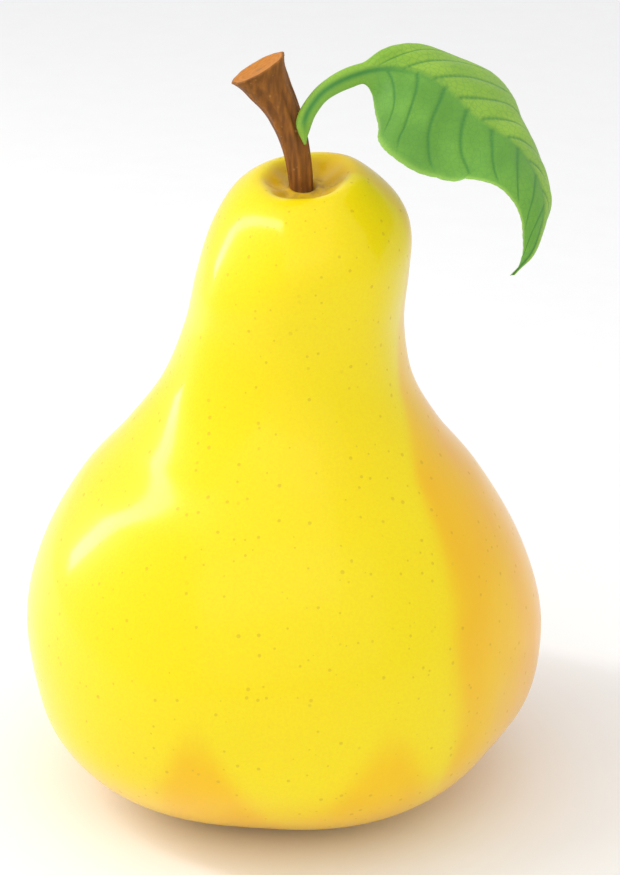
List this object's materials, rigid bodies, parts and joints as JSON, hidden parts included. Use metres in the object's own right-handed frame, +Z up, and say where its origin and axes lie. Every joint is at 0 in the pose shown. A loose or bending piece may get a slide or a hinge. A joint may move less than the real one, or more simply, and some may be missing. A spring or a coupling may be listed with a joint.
{
  "type": "pear",
  "caption": "Whole ripe pear: a broad bulb under a leaning neck, a woody stalk with a flared end, an arching leaf on the stalk, and a dried calyx in the basin underneath.",
  "frame": {"origin": "centre of the bounding box, at the height of the surface that the pear stands on", "axes": "+Z up from the base to the stalk; -Y is the front, and the stalk bends towards -X and the leaf hangs towards +X"},
  "size_m": [0.077, 0.077, 0.1123],
  "materials": {
    "skin": "smooth waxy fruit skin, yellow with an orange blush",
    "stalk": "dry brown bark with fine ridges",
    "leaf": "satin green leaf with darker veins",
    "calyx": "dry, matt and brittle"
  },
  "bodies": {
    "root": {"fruit": "skin", "stalk": "stalk", "leaf": "leaf", "calyx": "calyx"}
  },
  "joints": []
}
